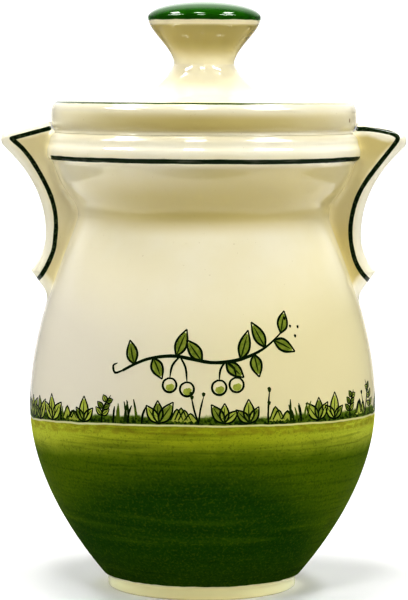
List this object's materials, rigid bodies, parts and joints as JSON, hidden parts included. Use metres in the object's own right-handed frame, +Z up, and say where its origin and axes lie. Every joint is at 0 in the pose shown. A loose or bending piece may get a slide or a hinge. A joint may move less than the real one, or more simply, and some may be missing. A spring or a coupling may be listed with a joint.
{
  "type": "lidded fruit pot",
  "caption": "Bulbous glazed stoneware pot with a waisted neck, two lug handles and a lift-off lid with a mushroom knob.",
  "frame": {"origin": "centre of the foot ring, on the surface that the pot stands on", "axes": "+Z up along the axis of the pot, X through the two lug handles, -Y towards the viewer"},
  "size_m": [0.2152, 0.1852, 0.312],
  "materials": {
    "pot_glaze": "cream, green below: glossy brushed stoneware glaze",
    "lug_glaze": "cream, glossy brushed stoneware glaze",
    "lid_glaze": "cream, glossy brushed stoneware glaze",
    "knob_glaze": "dark green, glossy brushed stoneware glaze",
    "brushwork": "dark green brush strokes under glaze"
  },
  "bodies": {
    "pot": {"pot_body": "pot_glaze", "left_handle": "lug_glaze", "right_handle": "lug_glaze"},
    "lid": {"lid": "lid_glaze", "lid_knob": "knob_glaze"}
  },
  "joints": [
    {"name": "lid_lift", "type": "slide", "parent": "pot", "child": "lid", "axis": [0, 0, 1], "range_m": [0, 0.12]}
  ]
}
